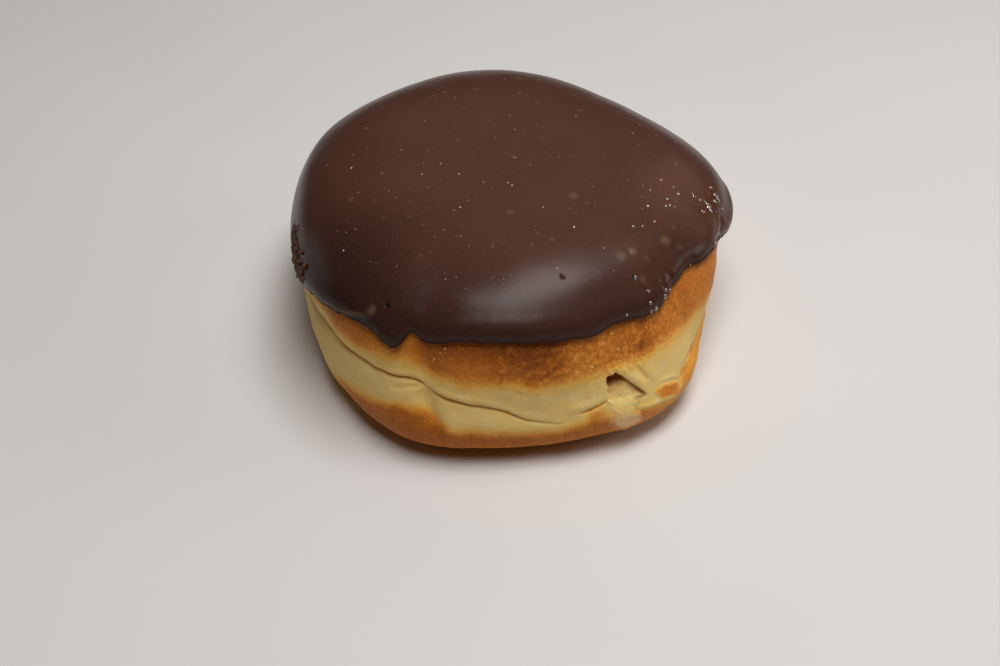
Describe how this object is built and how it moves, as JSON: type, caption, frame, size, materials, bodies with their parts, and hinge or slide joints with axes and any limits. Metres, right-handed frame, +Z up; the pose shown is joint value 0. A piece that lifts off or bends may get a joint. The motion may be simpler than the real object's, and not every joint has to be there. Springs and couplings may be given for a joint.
{
  "type": "boston cream doughnut",
  "caption": "Round fried yeast doughnut with a chocolate icing cap, a pale proof line and custard showing in the filling hole on its front right side.",
  "frame": {"origin": "middle of the outline on the surface that the doughnut rests on", "axes": "+Z up through the middle of the icing cap, -Y towards the viewer of the shown side, +X to that viewer's right"},
  "size_m": [0.1015, 0.1045, 0.0454],
  "materials": {
    "dough": "fried crust, golden brown above and below, pale yellow round the proof line",
    "icing": "set chocolate icing, satin, with small bubbles and pale specks",
    "custard": "soft wet custard cream"
  },
  "bodies": {
    "root": {"dough": "dough", "icing": "icing", "custard": "custard"}
  },
  "joints": []
}
